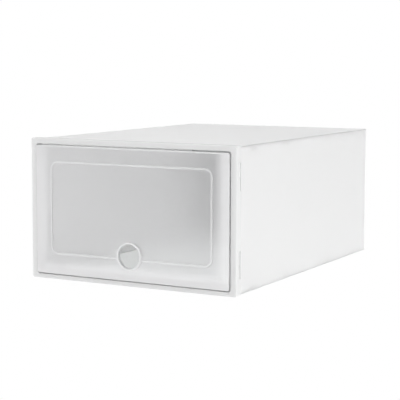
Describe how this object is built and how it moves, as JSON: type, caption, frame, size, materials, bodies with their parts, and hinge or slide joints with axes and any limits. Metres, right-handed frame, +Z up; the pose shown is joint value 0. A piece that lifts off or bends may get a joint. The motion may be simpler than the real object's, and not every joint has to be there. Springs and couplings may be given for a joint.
{
  "type": "shoe box",
  "caption": "Stackable shoe storage box: rectangular white plastic body, front frame and frosted flip-up door with a round finger hole.",
  "frame": {"origin": "on the floor plane, under the middle of the box's overall length and width", "axes": "+X to the right, -Y out through the door, +Z up"},
  "size_m": [0.229, 0.3326, 0.14],
  "materials": {
    "wall_plastic": "white polypropylene, fine satin texture",
    "frame_plastic": "white polypropylene, smooth satin",
    "door_plastic": "frosted translucent polypropylene",
    "pin_plastic": "white nylon"
  },
  "bodies": {
    "box": {"front_frame": "frame_plastic", "hinge_pins": "pin_plastic", "top_panel": "wall_plastic", "bottom_panel": "wall_plastic", "right_panel": "wall_plastic", "left_panel": "wall_plastic", "back_panel": "wall_plastic"},
    "door": {"flip_door": "door_plastic"}
  },
  "joints": [
    {"name": "door_hinge", "type": "hinge", "parent": "box", "child": "door", "pos_m": [0, -0.1608, 0.126], "axis": [-1, 0, 0], "range_deg": [0, 120]}
  ]
}
